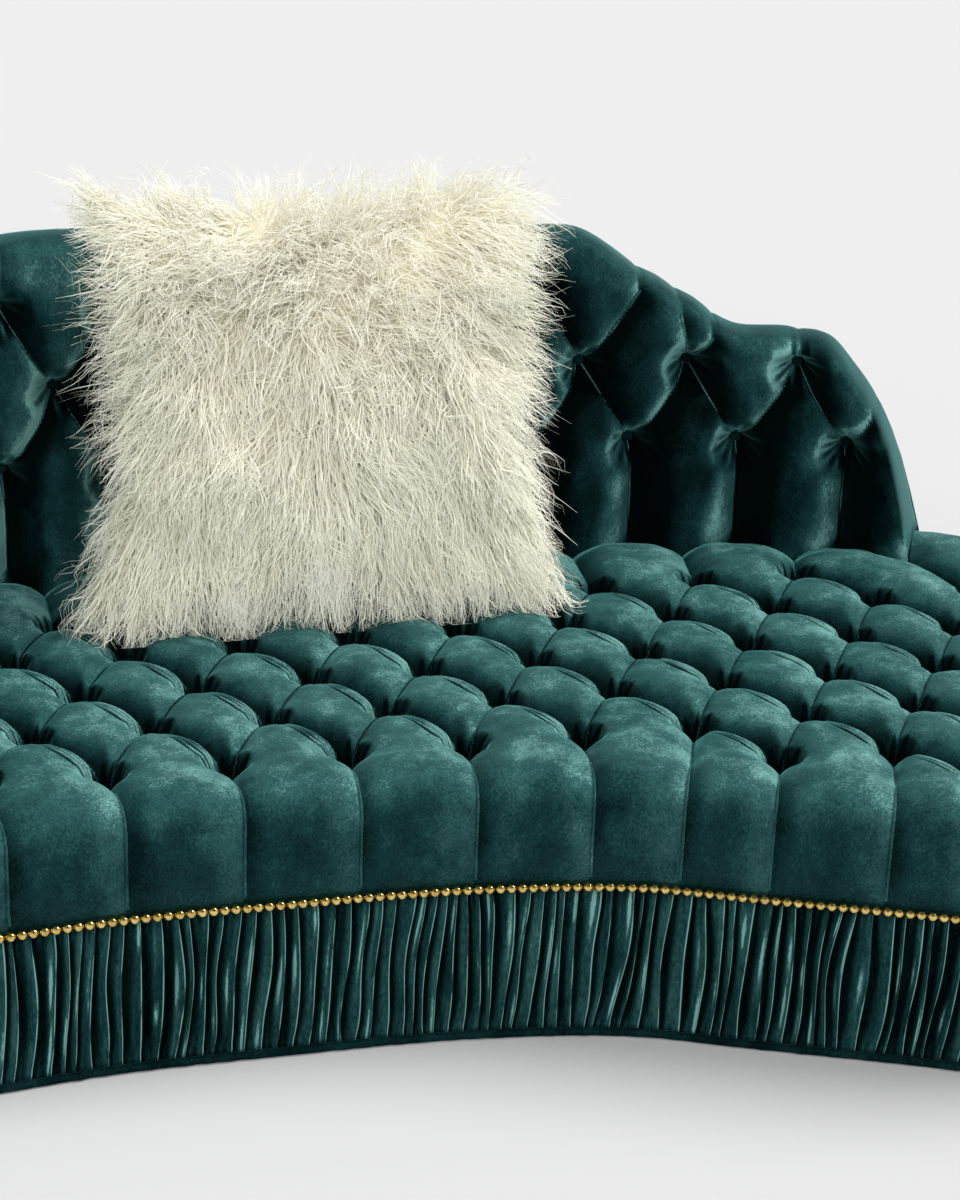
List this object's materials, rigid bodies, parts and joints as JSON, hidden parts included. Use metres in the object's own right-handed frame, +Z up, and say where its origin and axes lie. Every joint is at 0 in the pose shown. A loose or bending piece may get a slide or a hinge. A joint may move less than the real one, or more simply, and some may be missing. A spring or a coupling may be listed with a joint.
{
  "type": "fainting couch",
  "caption": "Kidney-shaped fainting couch with a deep diamond-tufted seat, a tufted wrap-round back, nailhead trim, a gathered skirt and a loose fur pillow.",
  "frame": {"origin": "middle of the couch's length and depth, on the floor", "axes": "+X towards the foot end, -Y towards the open front, +Z up"},
  "size_m": [2.4826, 1.2358, 1.0041],
  "materials": {
    "velvet": "satin",
    "lining": "matte",
    "burlap": "matte",
    "fur": "matte",
    "frame_timber": "matte",
    "frame_plywood": "matte",
    "leg_wood": "satin",
    "spring_steel": "satin",
    "nailheads": "polished"
  },
  "bodies": {
    "couch": {"rear_bottom_rail": "frame_plywood", "rear_top_rail": "frame_plywood", "head_bottom_rail": "frame_plywood", "head_top_rail": "frame_plywood", "front_bottom_rail": "frame_plywood", "front_top_rail": "frame_plywood", "foot_bottom_rail": "frame_plywood", "foot_top_rail": "frame_plywood", "leg_1": "leg_wood", "leg_2": "leg_wood", "leg_3": "leg_wood", "leg_4": "leg_wood", "leg_5": "leg_wood", "leg_6": "leg_wood", "leg_7": "leg_wood", "block_1": "frame_timber", "block_2": "frame_timber", "block_3": "frame_timber", "block_4": "frame_timber", "block_5": "frame_timber", "block_6": "frame_timber", "seat_bearer_1": "frame_timber", "seat_bearer_2": "frame_timber", "seat_spring_1": "spring_steel", "seat_spring_2": "spring_steel", "seat_spring_3": "spring_steel", "seat_spring_4": "spring_steel", "seat_spring_5": "spring_steel", "seat_spring_6": "spring_steel", "seat_deck": "burlap", "head_dust_cover": "lining", "foot_dust_cover": "lining", "base_panel_1": "frame_plywood", "base_panel_2": "frame_plywood", "base_panel_3": "frame_plywood", "base_panel_4": "frame_plywood", "base_panel_5": "frame_plywood", "base_panel_6": "frame_plywood", "base_panel_7": "frame_plywood", "base_panel_8": "frame_plywood", "base_panel_9": "frame_plywood", "base_panel_10": "frame_plywood", "skirt": "velvet", "skirt_hem_band": "velvet", "nailhead_strip": "nailheads", "seat_cushion": "velvet", "back_pad": "velvet", "back_plate": "frame_plywood", "crest_rail": "frame_plywood", "back_post_1": "frame_timber", "back_post_2": "frame_timber", "back_post_3": "frame_timber", "back_post_4": "frame_timber", "foot_back_board": "velvet", "head_back_board": "velvet"},
    "pillow": {"fur_pillow": "fur"}
  },
  "joints": [
    {"name": "pillow_lift", "type": "slide", "parent": "couch", "child": "pillow", "axis": [0, 0, 1], "range_m": [0, 0.4]}
  ]
}
